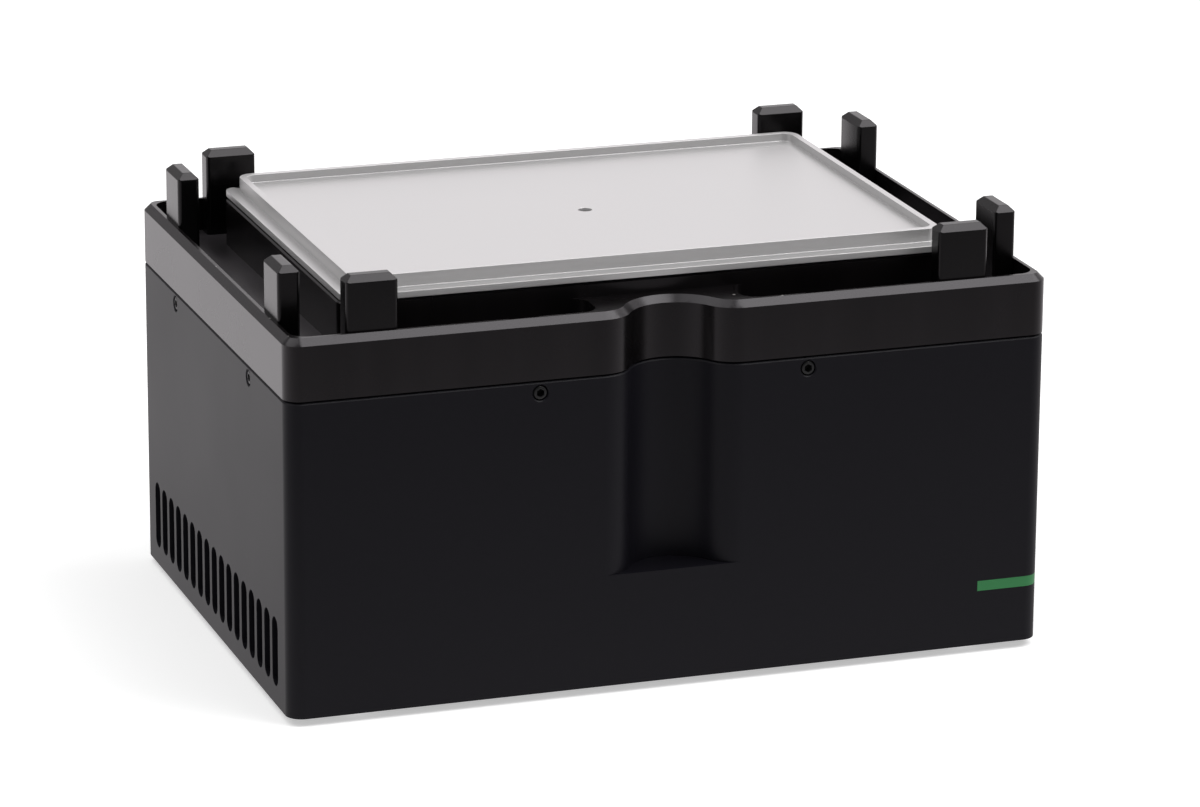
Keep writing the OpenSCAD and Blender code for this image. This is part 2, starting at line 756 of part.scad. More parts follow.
// Sheet between the fans and the fins, with a round opening over each fan.
module air_baffle() {
    color([0.55, 0.55, 0.57]) translate([0, 0, baffle_z]) difference() {
        linear_extrude(baffle_t) round_rect(sink_hx + 0.5, sink_hy + 0.4, 2);
        for (s = [-1, 1]) translate([s * fan_x, 0, -1]) {
            cylinder(h = 4, r = duct_r + 0.2);
            at_corners(fan_hole, fan_hole) cylinder(h = 4, r = m3_r + thread_fit);
        }
        at_corners(baffle_screw_x, baffle_screw_y) translate([0, 0, -1])
            cylinder(h = 4, r = m25_r + screw_fit);
    }
}

// Screws that hold the baffle to the end walls of the heat sink.
module baffle_screws() {
    color("silver") at_corners(baffle_screw_x, baffle_screw_y) translate([0, 0, baffle_z])
        cap_screw(m25_r, m25_head_r, m25_head_h, baffle_t + 6, m25_hex);
}

// Square fan frame with its duct, four spokes and the stator that carries the rotor.
module fan_frame(x) {
    translate([x, 0, fan_z]) difference() {
        union() {
            difference() {
                linear_extrude(fan_t) round_rect(fan_size / 2, fan_size / 2, 4);
                translate([0, 0, -1]) cylinder(h = fan_t + 2, r = duct_r);
            }
            for (a = [45, 135]) rotate([0, 0, a])
                translate([-duct_r - 1, -spoke_w / 2, 0]) cube([2 * duct_r + 2, spoke_w, spoke_t]);
            cylinder(h = spoke_t, r = hub_r);
            cylinder(h = fan_t - 4, r = stator_r);
        }
        translate([0, 0, 1]) cylinder(h = fan_t, r = shaft_r + shaft_gap);
        at_corners(fan_hole, fan_hole) translate([0, 0, -1])
            cylinder(h = fan_t + 2, r = m3_r + screw_fit);
    }
}

// Fan rotor: a cup over the stator, its shaft and the slanted blades.
module fan_rotor(x) {
    blade_h = rotor_h - 1.6;
    translate([x, 0, rotor_z]) {
        difference() {
            cylinder(h = rotor_h, r = hub_r);
            translate([0, 0, -1]) cylinder(h = rotor_h - hub_wall + 1, r = hub_r - hub_wall);
        }
        translate([0, 0, -1.4]) cylinder(h = rotor_h + 0.4, r = shaft_r);
        intersection() {
            for (i = [0:fan_blades - 1]) rotate([0, 0, i * 360 / fan_blades])
                translate([hub_r - 0.4, 0, rotor_h / 2]) rotate([blade_tilt, 0, 0])
                    translate([0, -10, -blade_t / 2]) cube([duct_r, 20, blade_t]);
            translate([0, 0, 0.8]) difference() {
                cylinder(h = blade_h, r = duct_r - tip_gap);
                translate([0, 0, -1]) cylinder(h = blade_h + 2, r = hub_r - 0.5);
            }
        }
    }
}

// Left fan's fixed frame.
module fan_frame_left() {
    color([0.08, 0.08, 0.08]) fan_frame(-fan_x);
}

// Right fan's fixed frame.
module fan_frame_right() {
    color([0.08, 0.08, 0.08]) fan_frame(fan_x);
}

// Left fan's rotor, which turns about Z.
module fan_rotor_left() {
    color([0.1, 0.1, 0.1]) fan_rotor(-fan_x);
}

// Right fan's rotor, which turns about Z.
module fan_rotor_right() {
    color([0.1, 0.1, 0.1]) fan_rotor(fan_x);
}

// Screws through the fan frames into the baffle.
module fan_screws() {
    color("silver") for (s = [-1, 1]) translate([s * fan_x, 0, fan_z])
        at_corners(fan_hole, fan_hole)
            cap_screw(m3_r, m3_head_r, 1.6, fan_t + baffle_t, 2);
}

// Base sheet inside the shell's bottom rim, with countersunk screw holes.
module base_plate() {
    color([0.3, 0.3, 0.32]) translate([0, 0, base_z]) difference() {
        linear_extrude(base_t) round_rect(hx - wall - drop_fit, hy - wall - drop_fit, 0.8);
        at_corners(boss_x, boss_y) {
            translate([0, 0, -1]) cylinder(h = 4, r = m3_r + screw_fit);
            cylinder(h = 1.4, r1 = m3_r + 1.4, r2 = m3_r);
        }
        at_corners(standoff_x, standoff_y) translate([0, 0, -1])
            cylinder(h = 4, r = m25_r + 0.4);
    }
}

// Countersunk screws up into the shell's bosses.
module base_screws() {
    color("silver") at_corners(boss_x, boss_y) translate([0, 0, base_z + 0.1]) difference() {
        union() {
            cylinder(h = 1.25, r1 = m3_r + 1.25, r2 = m3_r);
            cylinder(h = base_t + 5, r = m3_r);
        }
        translate([0, 0, -1]) hex_rod(2, 2);
    }
}

// Four round feet under the base.
module rubber_feet() {
    color([0.06, 0.06, 0.06]) at_corners(foot_x, foot_y) difference() {
        cylinder(h = base_z, r1 = foot_r - 0.4, r2 = foot_r);
        translate([0, 0, -1]) cylinder(h = 1.5, r = 2);
    }
}

// Control board under the fans.
module control_board() {
    color([0.1, 0.35, 0.2]) translate([0, 0, board_z]) linear_extrude(board_t) difference() {
        round_rect(board_hx, board_hy, 2);
        for (sx = [-1, 1], sy = [-1, 1]) translate([sx * standoff_x, sy * standoff_y])
            circle(m25_r + screw_fit);
    }
}

// Chips, coils and terminals on the board. Each is given by its place in shares of the
// board's half length and half width, and by its own width, depth and height.
module board_components() {
    blocks = [
        [-0.14, 0.06, 12, 12, 1.4], [0.25, -0.19, 8, 6, 1.5], [0.46, -0.19, 8, 6, 1.5],
        [-0.54, 0.45, 10, 6, 1.6], [0.61, 0.39, 9, 9, 2.6], [-0.64, -0.32, 7, 7, 2.4],
        [-0.36, -0.65, 14, 5, 2.6], [0.21, 0.65, 18, 5, component_h],
        [0.82, -0.13, 5, 14, component_h], [-0.82, 0.13, 4, 12, component_h],
        [0, -0.65, 5, 4, 1.2]
    ];
    color([0.15, 0.15, 0.15]) translate([0, 0, board_top]) {
        for (b = blocks) translate([b[0] * board_hx - b[2] / 2, b[1] * board_hy - b[3] / 2, 0])
            cube([b[2], b[3], b[4]]);
        for (x = [-0.04, 0.1, 0.39, 0.54])
            translate([x * board_hx, 0.32 * board_hy, 0]) cylinder(h = component_h, r = 2.4);
    }
}

// Pillars that carry the board.
module board_standoffs() {
    color([0.75, 0.7, 0.5]) at_corners(standoff_x, standoff_y) difference() {
        union() {
            translate([0, 0, base_top]) cylinder(h = board_z - base_top, r = standoff_r);
            translate([0, 0, base_z]) cylinder(h = base_t + 0.5, r = m25_r + 0.4);
        }
        translate([0, 0, board_z - 3.4]) cylinder(h = 5, r = m25_r + thread_fit);
    }
}

// Screws that hold the board to its pillars.
module board_screws() {
    color("silver") at_corners(standoff_x, standoff_y) translate([0, 0, board_top])
        mirror([0, 0, 1]) cap_screw(m25_r, m25_head_r, m25_head_h, board_t + 3.2, m25_hex);
}

// Round direct-current socket in the right rear bay.
module power_socket() {
    color([0.08, 0.08, 0.08]) translate([socket_x, bay_y, connector_z]) rotate([90, 0, 0])
        difference() {
            union() {
                translate([0, 0, -socket_flange_t]) cylinder(h = socket_flange_t, r = socket_flange_r);
                cylinder(h = socket_len, r = socket_r);
            }
            difference() {
                translate([0, 0, -socket_flange_t - 1]) cylinder(h = socket_len - 1, r = socket_bore_r);
                translate([0, 0, -socket_flange_t / 2]) cylinder(h = socket_len, r = socket_pin_r);
            }
        }
}

// Hexagon nut behind the power socket.
module socket_nut() {
    color([0.75, 0.75, 0.76]) translate([socket_x, bay_back_y, connector_z]) rotate([90, 0, 0])
        difference() {
            hex_rod(socket_nut_af, socket_nut_t);
            translate([0, 0, -1]) cylinder(h = socket_nut_t + 2, r = socket_r + thread_fit);
        }
}

// Outline of the nine-pin plug shell, drawn in by inset.
module port_plan(inset) {
    w = port_shell_w / 2 - inset;
    h = port_shell_h / 2 - inset;
    polygon([[-w, h], [w, h], [w - 1.4, -h], [1.4 - w, -h]]);
}

// Nine-pin serial port in the left rear bay.
module serial_port() {
    color([0.7, 0.7, 0.72]) translate([port_x, bay_y, connector_z]) rotate([90, 0, 0]) {
        difference() {
            union() {
                translate([0, 0, -port_flange_t]) linear_extrude(port_flange_t)
                    round_rect(port_w / 2, port_h / 2, 1.5);
                translate([0, 0, -2.7]) linear_extrude(3) port_plan(0);
                translate([-port_body_w / 2, -port_body_h / 2, 0])
                    cube([port_body_w, port_body_h, bay_wall + 5]);
            }
            translate([0, 0, -3]) linear_extrude(6) port_plan(0.6);
            for (s = [-1, 1]) translate([s * jack_x, 0, -2]) cylinder(h = 4, r = m25_r + screw_fit);
        }
        for (i = [-2:2]) translate([i * port_pin_pitch, port_pin_pitch / 2, -1.6])
            cylinder(h = 5, r = 0.5);
        for (i = [-1.5:1.5]) translate([i * port_pin_pitch, -port_pin_pitch / 2, -1.6])
            cylinder(h = 5, r = 0.5);
    }
}

// Hexagon jack screws of the serial port, with the nuts behind the wall.
module port_screws() {
    color([0.75, 0.75, 0.76]) for (s = [-1, 1])
        translate([port_x + s * jack_x, bay_y + port_flange_t, connector_z]) rotate([90, 0, 0]) {
            difference() {
                translate([0, 0, -1.7]) hex_rod(jack_af, 1.7);
                translate([0, 0, -2.7]) cylinder(h = 2.5, r = m25_r - 0.05);
            }
            cylinder(h = bay_wall + port_flange_t + jack_nut_t + 0.6, r = m25_r);
            translate([0, 0, bay_wall + port_flange_t]) hex_rod(jack_af + 0.2, jack_nut_t);
        }
}

// Coloured stripe round the front right corner, flush with the shell.
module accent_stripe() {
    color([0.18, 0.5, 0.28]) translate([0, 0, stripe_mid - stripe_h / 2])
        linear_extrude(stripe_h) stripe_plan();
}

housing_shell();
top_frame();
corner_pegs_wide();
corner_pegs_narrow();
peg_screws();
frame_screws();
seam_gasket();
plate_gasket();
thermal_plate();
cold_block();
block_screws();
clamp_screws();
insulation_collar();
module_foam();
peltier_modules();
thermal_pads();
temperature_sensor();
heat_sink();
sink_screws();
air_baffle();
baffle_screws();
fan_frame_left();
fan_frame_right();
fan_rotor_left();
fan_rotor_right();
fan_screws();
base_plate();
base_screws();
rubber_feet();
control_board();
board_components();
board_standoffs();
board_screws();
power_socket();
socket_nut();
serial_port();
port_screws();
accent_stripe();
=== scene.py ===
"""Looks of the microplate incubator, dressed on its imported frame.

The frame gives every piece its place. This script softens the edges of the visible pieces,
models the pieces that show from close by, gives each surface a procedural finish, and sets
the studio and the camera.
"""
import logging
import math
from dataclasses import dataclass, field
from enum import Enum
from typing import Callable, Sequence

import bmesh
import bpy
from mathutils import Matrix, Vector


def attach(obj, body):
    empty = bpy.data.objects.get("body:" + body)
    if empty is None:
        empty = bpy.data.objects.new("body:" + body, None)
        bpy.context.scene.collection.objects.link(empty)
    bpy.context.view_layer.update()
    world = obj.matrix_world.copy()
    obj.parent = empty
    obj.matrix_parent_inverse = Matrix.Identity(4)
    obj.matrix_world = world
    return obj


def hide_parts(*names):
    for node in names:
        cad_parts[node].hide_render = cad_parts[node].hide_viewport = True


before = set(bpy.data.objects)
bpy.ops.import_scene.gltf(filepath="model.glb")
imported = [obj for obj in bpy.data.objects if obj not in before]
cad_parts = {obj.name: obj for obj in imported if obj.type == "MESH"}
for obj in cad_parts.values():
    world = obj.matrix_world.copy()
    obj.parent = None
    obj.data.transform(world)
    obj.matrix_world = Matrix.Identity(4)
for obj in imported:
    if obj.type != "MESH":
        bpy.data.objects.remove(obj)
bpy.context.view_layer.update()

LOG = logging.getLogger("incubator")
MM = 0.001
BODY = "body"
WELD = 1e-6                          # vertices closer than this are one
SHARP_ANGLE = math.radians(30)       # edges sharper than this are rounded
SMOOTH_ANGLE = math.radians(35)      # edges sharper than this stay hard in shading
FLAT_ANGLE = math.radians(0.5)       # faces closer than this lie in one plane
BUMP_REACH = 0.0001                  # height of a full bump, in metres
MIN_ROUGHNESS = 0.02
NOISE_BAND = (0.3, 0.7)              # where most of a noise's values lie
WHITE = (1.0, 1.0, 1.0, 1.0)
Spot = tuple[float, float, float]


class Axis(Enum):
    """Direction in which tool marks run over a surface."""

    NONE = (1.0, 1.0, 1.0)
    ALONG_X = (0.02, 1.0, 1.0)
    ALONG_Y = (1.0, 0.05, 1.0)
    UPRIGHT = (1.0, 1.0, 0.015)


# ---------------------------------------------------------------- mesh helpers
def deselect() -> None:
    """Leave object mode and clear the selection."""
    if bpy.context.mode != "OBJECT":
        bpy.ops.object.mode_set(mode="OBJECT")
    bpy.ops.object.select_all(action="DESELECT")


def activate(obj: bpy.types.Object) -> None:
    """Make one object the only selected and active one.

    Args:
        obj: the object to select.
    """
    deselect()
    obj.select_set(True)
    bpy.context.view_layer.objects.active = obj


def settle(obj: bpy.types.Object, name: str) -> bpy.types.Object:
    """Name a finished piece and put its place into its mesh.

    Args:
        obj: the piece.
        name: its new name.

    Returns:
        The piece, with its object at the origin.
    """
    activate(obj)
    bpy.ops.object.transform_apply(location=True, rotation=True, scale=True)
    obj.name = name
    obj.data.name = name
    return obj


def apply_modifiers(obj: bpy.types.Object) -> None:
    """Apply every modifier of a piece in order.

    Args:
        obj: the piece.
    """
    activate(obj)
    for modifier in list(obj.modifiers):
        bpy.ops.object.modifier_apply(modifier=modifier.name)


def clean_faces(obj: bpy.types.Object, gap: float) -> None:
    """Merge a piece's doubled vertices and dissolve its flat faces.

    Args:
        obj: the piece.
        gap: vertices closer than this many metres are merged.
    """
    activate(obj)
    bpy.ops.object.mode_set(mode="EDIT")
    bpy.ops.mesh.select_all(action="SELECT")
    bpy.ops.mesh.remove_doubles(threshold=gap)
    bpy.ops.mesh.dissolve_limited(angle_limit=FLAT_ANGLE)
    bpy.ops.object.mode_set(mode="OBJECT")


def soften(obj: bpy.types.Object, width: float, segments: int = 2) -> None:
    """Round a piece's sharp edges with a fine bevel and shade it smooth.

    Args:
        obj: the piece.
        width: bevel width in metres.
        segments: faces across the bevel.
    """
    bevel = obj.modifiers.new("edge_break", "BEVEL")
    bevel.width = width
    bevel.segments = segments
    bevel.limit_method = "ANGLE"
    bevel.angle_limit = SHARP_ANGLE
    bevel.use_clamp_overlap = True
    bevel.miter_outer = "MITER_ARC"
    apply_modifiers(obj)
    activate(obj)
    bpy.ops.object.shade_smooth_by_angle(angle=SMOOTH_ANGLE)
    weighted = obj.modifiers.new("flat_faces", "WEIGHTED_NORMAL")
    weighted.mode = "FACE_AREA"
    weighted.weight = 100
    weighted.keep_sharp = True
    apply_modifiers(obj)


def copy_of_node(node: str, name: str) -> bpy.types.Object:
    """Copy a frame node, merge its loose triangles and dissolve its flat faces.

    Args:
        node: the frame node.
        name: the copy's name.

    Returns:
        The copy, ready to be shaped.
    """
    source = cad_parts[node]
    obj = bpy.data.objects.new(name, source.data.copy())
    obj.data.name = name
    obj.data.materials.clear()
    bpy.context.scene.collection.objects.link(obj)
    clean_faces(obj, 2 * WELD)
    return obj


def soft_copy(node: str, width: float) -> bpy.types.Object:
    """Copy a frame node and round its sharp edges.

    Args:
        node: the frame node.
        width: bevel width in metres.

    Returns:
        The softened copy.
    """
    obj = copy_of_node(node, f"{node}_soft")
    soften(obj, width)
    return obj


def select_faces(obj: bpy.types.Object, test: Callable[[bmesh.types.BMFace], bool]) -> None:
    """In edit mode, select only the faces that pass a test.

    Args:
        obj: the object in edit mode.
        test: says whether a face is taken.
    """
    mesh = bmesh.from_edit_mesh(obj.data)
    bpy.ops.mesh.select_all(action="DESELECT")
    for face in mesh.faces:
        face.select_set(bool(test(face)))
    mesh.select_flush(True)
    bmesh.update_edit_mesh(obj.data)


def select_edges(obj: bpy.types.Object, test: Callable[[bmesh.types.BMEdge], bool]) -> None:
    """In edit mode, select only the edges that pass a test.

    Args:
        obj: the object in edit mode.
        test: says whether an edge is taken.
    """
    bpy.ops.mesh.select_mode(type="EDGE")
    mesh = bmesh.from_edit_mesh(obj.data)
    for edge in mesh.edges:
        edge.select_set(False)
    for edge in [edge for edge in mesh.edges if test(edge)]:
        edge.select_set(True)
    bmesh.update_edit_mesh(obj.data)


def add_cube(centre: Sequence[float], size: Sequence[float]) -> bpy.types.Object:
    """Add a block that stands straight.

    Args:
        centre: its middle, in metres.
        size: its edge lengths, in metres.

    Returns:
        The block.
    """
    deselect()
    bpy.ops.mesh.primitive_cube_add(size=1.0, location=centre)
    obj = bpy.context.object
    obj.scale = size
    bpy.ops.object.transform_apply(location=True, rotation=True, scale=True)
    return obj


def is_upright(edge: bmesh.types.BMEdge) -> bool:
    """Say whether an edge runs about straight up.

    Args:
        edge: the edge.

    Returns:
        True if it does.
    """
    run = edge.verts[1].co - edge.verts[0].co
    return abs(run.z) > 0.9 * run.length


def copy_to(obj: bpy.types.Object, spot: Vector, name: str,
            turn: Matrix = Matrix()) -> bpy.types.Object:
    """Copy a piece that stands at the origin, with its own mesh, and move the copy's mesh.

    Args:
        obj: the first piece.
        spot: where the copy goes.
        name: the copy's name.
        turn: rotation about the origin that comes first.

    Returns:
        The copy, with its object at the origin.
    """
    twin = bpy.data.objects.new(name, obj.data.copy())
    bpy.context.scene.collection.objects.link(twin)
    twin.matrix_world = Matrix.Translation(spot) @ turn
    return settle(twin, name)


def cut_with(obj: bpy.types.Object, tool: bpy.types.Object, operation: str) -> None:
    """Join or cut a piece with another solid, which is then removed.

    Args:
        obj: the piece.
        tool: the second solid.
        operation: UNION or DIFFERENCE.
    """
    cut = obj.modifiers.new("cut", "BOOLEAN")
    cut.operation = operation
    cut.object = tool
    cut.solver = "EXACT"
    apply_modifiers(obj)
    bpy.data.objects.remove(tool)


def place(obj: bpy.types.Object, node: str, finish: "Finish") -> None:
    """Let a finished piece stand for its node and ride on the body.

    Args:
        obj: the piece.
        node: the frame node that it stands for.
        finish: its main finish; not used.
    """
    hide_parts(node)
    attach(obj, BODY)
    LOG.info("%s: %d faces", obj.name, len(obj.data.polygons))


# ---------------------------------------------------------------- shader helpers
def map_range(tree: bpy.types.NodeTree, value: bpy.types.NodeSocket, span: tuple[float, float],
              target: tuple[float, float]) -> bpy.types.NodeSocket:
    """Add a node that maps one span of values on another and clamps it there.

    Args:
        tree: the shader tree.
        value: the socket that is mapped.
        span: the first and the last value taken.
        target: what they become.

    Returns:
        The mapped value's socket.
    """
    ramp = tree.nodes.new("ShaderNodeMapRange")
    ramp.inputs["From Min"].default_value, ramp.inputs["From Max"].default_value = span
    ramp.inputs["To Min"].default_value, ramp.inputs["To Max"].default_value = target
    tree.links.new(value, ramp.inputs["Value"])
    return ramp.outputs[0]


def mix_shaders(tree: bpy.types.NodeTree, factor: bpy.types.NodeSocket,
                first: bpy.types.NodeSocket, second: bpy.types.NodeSocket) -> bpy.types.NodeSocket:
    """Add a node that goes from one shader to another.

    Args:
        tree: the shader tree.
        factor: 0 gives the first shader, 1 the second.
        first: the first shader.
        second: the second shader.

    Returns:
        The mixed shader's socket.
    """
    mix = tree.nodes.new("ShaderNodeMixShader")
    for slot, source in enumerate((factor, first, second)):
        tree.links.new(source, mix.inputs[slot])
    return mix.outputs[0]


def glossy_or_clear(tree: bpy.types.NodeTree, paths: bpy.types.Node) -> bpy.types.NodeSocket:
    """Add a node that is 1 for rays that a glossy or a clear face sends on.

    Args:
        tree: the shader tree.
        paths: its Light Path node.

    Returns:
        The value's socket.
    """
    either = tree.nodes.new("ShaderNodeMath")
    either.operation = "MAXIMUM"
    tree.links.new(paths.outputs["Is Glossy Ray"], either.inputs[0])
    tree.links.new(paths.outputs["Is Transmission Ray"], either.inputs[1])
    return either.outputs[0]


def position_axes(tree: bpy.types.NodeTree, source: str) -> Sequence[bpy.types.NodeSocket]:
    """Add nodes that split a texture coordinate into its axes.

    Args:
        tree: the shader tree.
        source: the coordinate's name.

    Returns:
        The outputs for X, Y and Z.
    """
    coords = tree.nodes.new("ShaderNodeTexCoord")
    axes = tree.nodes.new("ShaderNodeSeparateXYZ")
    tree.links.new(coords.outputs[source], axes.inputs[0])
    return axes.outputs


# ---------------------------------------------------------------- shader effects
class Effect:
    """A shader node group, built once and placed in many materials."""

    name = "effect"
    inputs: tuple[tuple[str, str, object], ...] = ()
    outputs: tuple[tuple[str, str], ...] = ()

    def __init__(self) -> None:
        """Create the group with its named sockets and fill it."""
        self.tree = bpy.data.node_groups.new(self.name, "ShaderNodeTree")
        for label, kind, default in self.inputs:
            socket = self.tree.interface.new_socket(label, in_out="INPUT", socket_type=kind)
            socket.default_value = default
        for label, kind in self.outputs:
            self.tree.interface.new_socket(label, in_out="OUTPUT", socket_type=kind)
        self.enter = self.tree.nodes.new("NodeGroupInput")
        self.leave = self.tree.nodes.new("NodeGroupOutput")
        self.build()

    def build(self) -> None:
        """Add the group's nodes. Each effect fills this in."""

    def node(self, kind: str, **settings: object) -> bpy.types.Node:
        """Add a node to the group and set its properties.

        Args:
            kind: Blender's node type.
            **settings: properties of the node.

        Returns:
            The new node.
        """
        new = self.tree.nodes.new(kind)
        for key, value in settings.items():
            setattr(new, key, value)
        return new

    def link(self, source: bpy.types.NodeSocket, target: bpy.types.NodeSocket) -> None:
        """Join two sockets of the group.

        Args:
            source: an output.
            target: an input.
        """
        self.tree.links.new(source, target)

    def calculate(self, operation: str,
                  *values: bpy.types.NodeSocket | float) -> bpy.types.NodeSocket:
        """Add a math node.

        Args:
            operation: Blender's name for what it does.
            *values: its inputs, each a socket or a number.

        Returns:
            The result's socket.
        """
        step = self.node("ShaderNodeMath", operation=operation)
        for slot, value in enumerate(values):
            if isinstance(value, bpy.types.NodeSocket):
                self.link(value, step.inputs[slot])
            else:
                step.inputs[slot].default_value = value
        return step.outputs[0]

    def noise(self, vector: bpy.types.NodeSocket, scale: bpy.types.NodeSocket,
              detail: float) -> bpy.types.NodeSocket:
        """Add a noise.

        Args:
            vector: where it is read.
            scale: its cells per metre.
            detail: its octaves.

        Returns:
            The socket of its value.
        """
        texture = self.node("ShaderNodeTexNoise", noise_dimensions="3D")
        texture.inputs["Detail"].default_value = detail
        self.link(vector, texture.inputs["Vector"])
        self.link(scale, texture.inputs["Scale"])
        return texture.outputs["Fac"]


class ToneShift(Effect):
    """Slow light and dark variation of a colour."""

    name = "tone_shift"
    inputs = (("Vector", "NodeSocketVector", (0.0, 0.0, 0.0)),
              ("Color", "NodeSocketColor", (0.5, 0.5, 0.5, 1.0)),
              ("Scale", "NodeSocketFloat", 30.0), ("Amount", "NodeSocketFloat", 0.1))
    outputs = (("Color", "NodeSocketColor"), ("Mask", "NodeSocketFloat"))

    def build(self) -> None:
        """Noise scales the colour's brightness up and down by Amount."""
        given = self.enter.outputs
        mask = self.noise(given["Vector"], given["Scale"], 4.0)
        centred = self.calculate("SUBTRACT", mask, 0.5)
        gain = self.calculate("MULTIPLY_ADD", centred, given["Amount"], 1.0)
        scaled = self.node("ShaderNodeVectorMath", operation="SCALE")
        self.link(given["Color"], scaled.inputs[0])
        self.link(gain, scaled.inputs["Scale"])
        self.link(scaled.outputs[0], self.leave.inputs["Color"])
        self.link(mask, self.leave.inputs["Mask"])


class FineGrain(Effect):
    """Small even grain of a blasted, moulded or anodised face."""

    name = "fine_grain"
    inputs = (("Vector", "NodeSocketVector", (0.0, 0.0, 0.0)),
              ("Scale", "NodeSocketFloat", 4000.0))
    outputs = (("Height", "NodeSocketFloat"),)
    wide_share = 0.23

    def build(self) -> None:
        """Two noises of different size are added."""
        given = self.enter.outputs
        fine = self.noise(given["Vector"], given["Scale"], 2.0)
        wide_scale = self.calculate("MULTIPLY", given["Scale"], self.wide_share)
        wide = self.noise(given["Vector"], wide_scale, 1.0)
        self.link(self.calculate("ADD", fine, wide), self.leave.inputs["Height"])


class ToolMarksAndSheen(Effect):
    """Fine straight marks that a milling cutter leaves, and slow bands along them for painted
    sheen.
    """

    name = "tool_marks_and_sheen"
    inputs = (("Vector", "NodeSocketVector", (0.0, 0.0, 0.0)),
              ("Direction", "NodeSocketVector", (1.0, 1.0, 1.0)),
              ("Scale", "NodeSocketFloat", 1500.0))
    outputs = (("Height", "NodeSocketFloat"), ("Band", "NodeSocketFloat"))
    band_share = 0.12

    def build(self) -> None:
        """Noise is drawn out along the marks; a slower one gives bands that finishes lay on their
        colour as painted sheen.
        """
        given = self.enter.outputs
        stretch = self.node("ShaderNodeVectorMath", operation="MULTIPLY")
        self.link(given["Vector"], stretch.inputs[0])
        self.link(given["Direction"], stretch.inputs[1])
        fine = self.noise(stretch.outputs[0], given["Scale"], 3.0)
        slow_scale = self.calculate("MULTIPLY", given["Scale"], self.band_share)
        slow = self.noise(stretch.outputs[0], slow_scale, 2.0)
        self.link(fine, self.leave.inputs["Height"])
        self.link(slow, self.leave.inputs["Band"])


class Dust(Effect):
    """Sparse specks that lie on faces that look up."""

    name = "dust"
    inputs = (("Vector", "NodeSocketVector", (0.0, 0.0, 0.0)),
              ("Density", "NodeSocketFloat", 0.1))
    outputs = (("Mask", "NodeSocketFloat"),)
    color = (150, 148, 145)
    cells_per_metre = 900.0
    speck_edge = (0.34, 0.16)
    level_above = 0.8

    def build(self) -> None:
        """Small Voronoi cells are kept by chance, and only where the face looks up."""
        given = self.enter.outputs
        cells = self.node("ShaderNodeTexVoronoi", feature="F1")
        cells.inputs["Scale"].default_value = self.cells_per_metre
        self.link(given["Vector"], cells.inputs["Vector"])
        chance = self.node("ShaderNodeSeparateColor")
        self.link(cells.outputs["Color"], chance.inputs[0])
        kept = self.calculate("LESS_THAN", chance.outputs[0], given["Density"])
        speck = map_range(self.tree, cells.outputs["Distance"], self.speck_edge, (0.0, 1.0))
        facing = self.node("ShaderNodeNewGeometry")
        up = self.node("ShaderNodeSeparateXYZ")
        self.link(facing.outputs["Normal"], up.inputs[0])
        level = self.calculate("GREATER_THAN", up.outputs[2], self.level_above)
        both = self.calculate("MULTIPLY", kept, speck)
        self.link(self.calculate("MULTIPLY", both, level), self.leave.inputs["Mask"])


# ---------------------------------------------------------------- finishes
def srgb(red: int, green: int, blue: int) -> tuple[float, float, float, float]:
    """Turn an 8-bit screen colour into a linear one.

    Args:
        red: red from 0 to 255.
        green: green from 0 to 255.
        blue: blue from 0 to 255.

    Returns:
        The linear colour with full alpha.
    """
    def linear(value: float) -> float:
        """Undo the screen's curve for one channel from 0 to 1."""
        return value / 12.92 if value <= 0.04045 else ((value + 0.055) / 1.055) ** 2.4
    return (linear(red / 255), linear(green / 255), linear(blue / 255), 1.0)


@dataclass(frozen=True)
class Finish:
    """One surface finish: its colour, gloss and the small marks on it."""

    name: str
    color: tuple[float, float, float, float]
    roughness: float
    metallic: float = 0.0
    specular: float = 0.5
    tint: tuple[float, float, float] = (1.0, 1.0, 1.0)
    tone_amount: float = 0.12
    tone_scale: float = 25.0
    rough_spread: float = 0.05
    grain_scale: float = 4000.0
    grain_depth: float = 0.02
    marks: Axis = Axis.NONE
    marks_scale: float = 1500.0
    marks_depth: float = 0.0
    # share of the slow bands along the marks laid on the colour as painted sheen
    marks_and_sheen_tone: float = 0.0
    dust: float = 0.0


